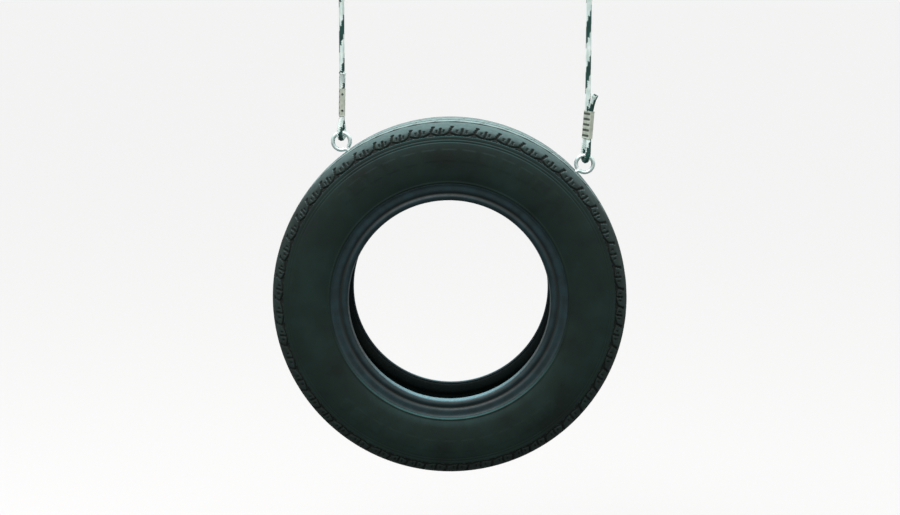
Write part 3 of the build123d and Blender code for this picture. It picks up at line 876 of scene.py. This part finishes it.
def lining_ring(name):
    """The ply's ring. A vent line's angle grows in proportion to the distance across."""
    angles = np.linspace(0, 2 * pi, LINING_ROWS, endpoint=False)
    section = through(mirrored(LINER), 3.2)
    along = np.r_[0, np.cumsum(np.linalg.norm(np.diff(section, axis=0), axis=1))]
    slanted = np.degrees(angles)[:, None] + VENT_SLANT_DEG_PER_MM * along
    vent = VENT_HEIGHT * np.cos(slanted * 2 * pi / VENT_STEP_DEG) ** 8
    vent[:, [0, -1]] = 0
    outer = mirrored(PLY[::-1])[::-1]
    return tyre_ring(name, closed_by(pressed_in(section, vent), outer), angles, 1, vent)


# Lining rubber: butyl, smooth and very black, paler at the bottom where it faces up.
lining_rubber = rubber("butyl_lining_rubber", "#10181a", "#1b2422", "#3a4442", 0.4, 40, 0.7,
                       gloss=0.15)
lining = lining_ring("lined_body_ply")
lining.data.materials.append(lining_rubber)
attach(lining, "tyre")
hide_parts("body_ply")
finish_node("steel_belts", lining_rubber)

# ==== The studio =======================================================================
# A pale floor well below the tyre, and soft white light from above as in a product studio. The
# floor gives the swing no light of its own, so its underside stays deep.
FLOOR_BELOW_TYRE = 0.35
FLOOR_HALF_SIZE = 60.0
SKY = dict(zenith=2.0, horizon=0.55, below=0.25)
SOFTBOX_WATTS = 40
SOFTBOX_SIZE = 2.2
SOFTBOX_FROM_TYRE = (-0.8, -1.6, 2.6)

floor_z = tread_box[0].z - FLOOR_BELOW_TYRE
corners = [(x * FLOOR_HALF_SIZE, y * FLOOR_HALF_SIZE, floor_z)
           for x, y in ((-1, -1), (1, -1), (1, 1), (-1, 1))]
floor_mesh = bpy.data.meshes.new("floor")
floor_mesh.from_pydata(corners, [], [(0, 1, 2, 3)])
floor = bpy.data.objects.new("floor", floor_mesh)
bpy.context.scene.collection.objects.link(floor)
floor.visible_diffuse = False
floor.visible_glossy = False
paper, here = new_material("pale_studio_floor")
shade(paper, 0.9, linear("#d3cacc"), specular_ior_level=0.0)
floor_mesh.materials.append(paper)

world = bpy.data.worlds.new("studio")
world.use_nodes = True
bpy.context.scene.world = world
upwards = add(world, "ShaderNodeSeparateXYZ", {
    "Vector": add(world, "ShaderNodeTexCoord").outputs["Generated"]}).outputs["Z"]
above = add(world, "ShaderNodeMapRange", {"Value": upwards, "From Min": 0.0, "From Max": 1.0,
                                          "To Min": SKY["horizon"], "To Max": SKY["zenith"]})
under = add(world, "ShaderNodeMapRange", {"Value": upwards, "From Min": -0.3, "From Max": 0.0,
                                          "To Min": SKY["below"], "To Max": SKY["horizon"]})
is_above = add(world, "ShaderNodeMath", {0: upwards, 1: 0.0}, operation="GREATER_THAN")
strength = add(world, "ShaderNodeMix", {0: is_above.outputs[0], 2: under.outputs["Result"],
                                        3: above.outputs["Result"]}, data_type="FLOAT")
background = world.node_tree.nodes["Background"]
background.inputs["Color"].default_value = linear("#f4fffc")
world.node_tree.links.new(strength.outputs[0], background.inputs["Strength"])
seen = add(world, "ShaderNodeBackground", {"Color": linear("#f7f7f7"), "Strength": 1.0})
shown = add(world, "ShaderNodeMixShader", {
    0: add(world, "ShaderNodeLightPath").outputs["Is Camera Ray"],
    1: background.outputs[0], 2: seen.outputs[0]})
world.node_tree.links.new(shown.outputs[0], world.node_tree.nodes["World Output"].inputs[0])

softbox = bpy.data.objects.new("softbox", bpy.data.lights.new("softbox", "AREA"))
softbox.data.energy = SOFTBOX_WATTS
softbox.data.size = SOFTBOX_SIZE
softbox.location = tyre_middle + Vector(SOFTBOX_FROM_TYRE)
softbox.rotation_euler = (tyre_middle - softbox.location).to_track_quat("-Z", "Y").to_euler()
bpy.context.scene.collection.objects.link(softbox)
bpy.context.scene.view_settings.view_transform = "Standard"
